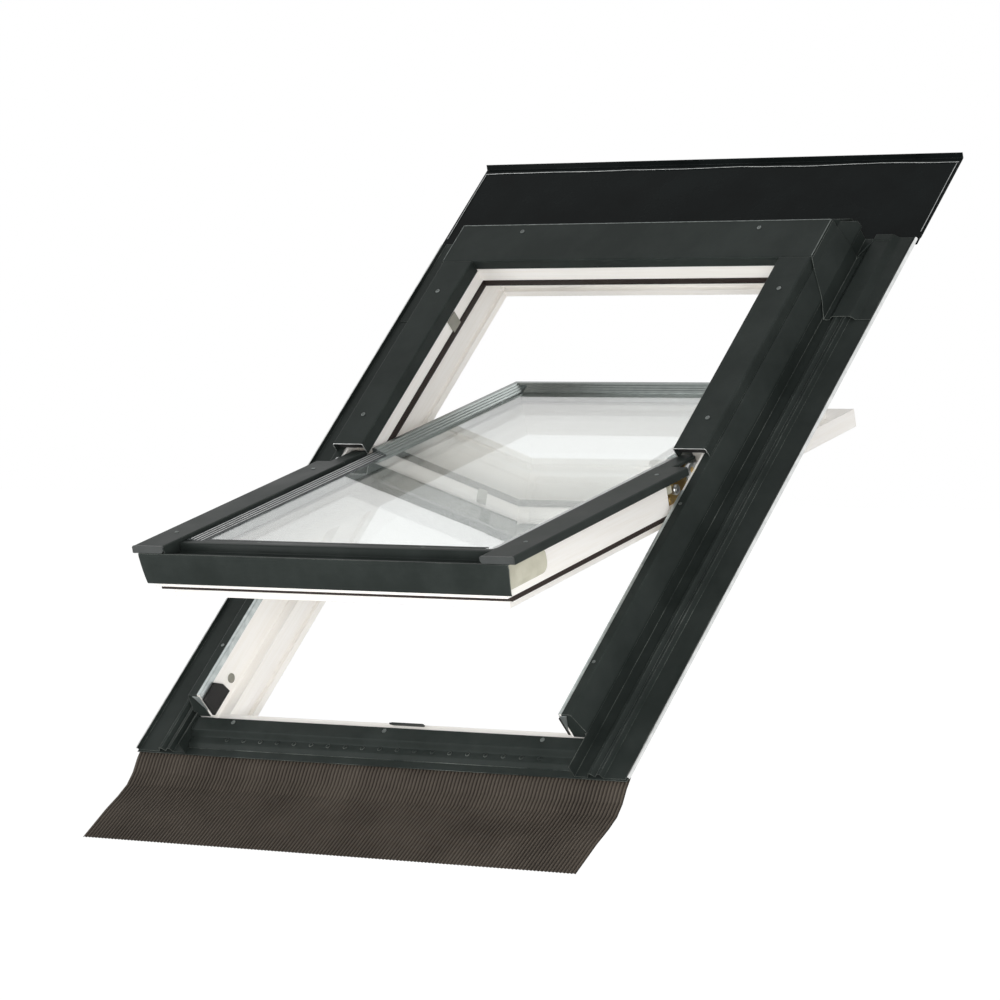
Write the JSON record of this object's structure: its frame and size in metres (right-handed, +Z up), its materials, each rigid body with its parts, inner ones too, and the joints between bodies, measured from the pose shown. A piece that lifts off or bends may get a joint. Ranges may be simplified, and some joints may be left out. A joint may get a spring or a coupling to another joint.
{
  "type": "roof window",
  "caption": "Centre-pivot roof window with timber frame and sash, double glazing, dark metal covers and a flashing kit with pleated apron; sash turns on side pivots and locks with a handle",
  "frame": {"origin": "Middle of the fixed frame, on the roof plane", "axes": "+X across the window to the right seen from outside, +Z up, -Y outward from the building; the roof slopes 45 degrees, rising towards +Y"},
  "size_m": [1, 1.1369, 1.1314],
  "materials": {
    "white_timber": "smooth white paint on pine",
    "dark_cladding": "dark green-grey coated sheet aluminium, low sheen",
    "black_flashing": "near-black coated sheet, glossier",
    "pleated_apron": "brown-black coated soft sheet, matt",
    "brown_gasket": "brown extruded rubber",
    "black_rubber": "black rubber",
    "clear_glass": "clear float glass, coated",
    "grey_bead": "grey anodised aluminium",
    "yellow_zinc": "yellow-passivated zinc",
    "bright_zinc": "bright zinc plate",
    "satin_aluminium": "satin anodised",
    "cream_plastic": "moulded, matt",
    "grey_plastic": "moulded, matt",
    "dark_plastic": "moulded, matt",
    "dark_fixings": "screw and rivet heads in the cladding colour"
  },
  "bodies": {
    "frame": {"frame_head": "white_timber", "frame_sill": "white_timber", "frame_jamb_left": "white_timber", "frame_jamb_right": "white_timber", "frame_gasket": "brown_gasket", "jamb_cladding_left": "dark_cladding", "jamb_cladding_right": "dark_cladding", "sill_cladding": "dark_cladding", "head_cover": "dark_cladding", "upper_cover_left": "dark_cladding", "upper_cover_right": "dark_cladding", "head_flashing": "black_flashing", "flashing_corner_left": "dark_cladding", "flashing_corner_right": "dark_cladding", "side_flashing_left": "dark_cladding", "side_flashing_right": "dark_cladding", "sill_flashing": "dark_cladding", "apron": "pleated_apron", "flashing_rivets": "dark_fixings", "cover_screws": "dark_fixings", "pivot_bracket_left": "bright_zinc", "pivot_bracket_right": "bright_zinc", "pivot_pin_left": "yellow_zinc", "pivot_pin_right": "yellow_zinc", "latch_keep": "bright_zinc", "jamb_plugs": "grey_plastic", "corner_seals": "black_rubber", "jamb_catches": "grey_plastic", "mounting_bracket_upper_left": "bright_zinc", "mounting_bracket_upper_right": "bright_zinc", "mounting_bracket_lower_left": "bright_zinc", "mounting_bracket_lower_right": "bright_zinc"},
    "sash": {"sash_stile_left": "white_timber", "sash_stile_right": "white_timber", "sash_top_rail": "white_timber", "sash_bottom_rail": "white_timber", "outer_pane": "clear_glass", "inner_pane": "clear_glass", "pane_spacer": "grey_bead", "glazing_tape": "brown_gasket", "sash_gasket": "brown_gasket", "upper_bead_left": "grey_bead", "upper_bead_right": "grey_bead", "top_bead": "grey_bead", "lower_bead_left": "dark_cladding", "lower_bead_right": "dark_cladding", "bottom_trim": "dark_cladding", "side_cover_left": "dark_cladding", "side_cover_right": "dark_cladding", "fascia": "dark_cladding", "end_cap_left": "dark_plastic", "end_cap_right": "dark_plastic", "corner_block_left": "cream_plastic", "corner_block_right": "cream_plastic", "pivot_plate_left": "yellow_zinc", "pivot_plate_right": "yellow_zinc", "handle_rose": "satin_aluminium"},
    "handle": {"handle": "satin_aluminium"},
    "latch_bolt": {"latch_bolt": "bright_zinc"}
  },
  "joints": [
    {"name": "sash_pivot", "type": "hinge", "parent": "frame", "child": "sash", "pos_m": [0, -0.06293, 0.03748], "axis": [-1, 0, 0], "range_deg": [-30, 90]},
    {"name": "handle_turn", "type": "hinge", "parent": "sash", "child": "handle", "pos_m": [0, 0.45711, 0.08261], "axis": [0, -0.2588, 0.9659], "range_deg": [0, 90]},
    {"name": "latch_slide", "type": "slide", "parent": "sash", "child": "latch_bolt", "axis": [0, 0.9659, 0.2588], "range_m": [0, 0.016]}
  ],
  "couplings": [
    {"joint": "latch_slide", "follows": "handle_turn", "m_per_rad": 0.010185}
  ]
}
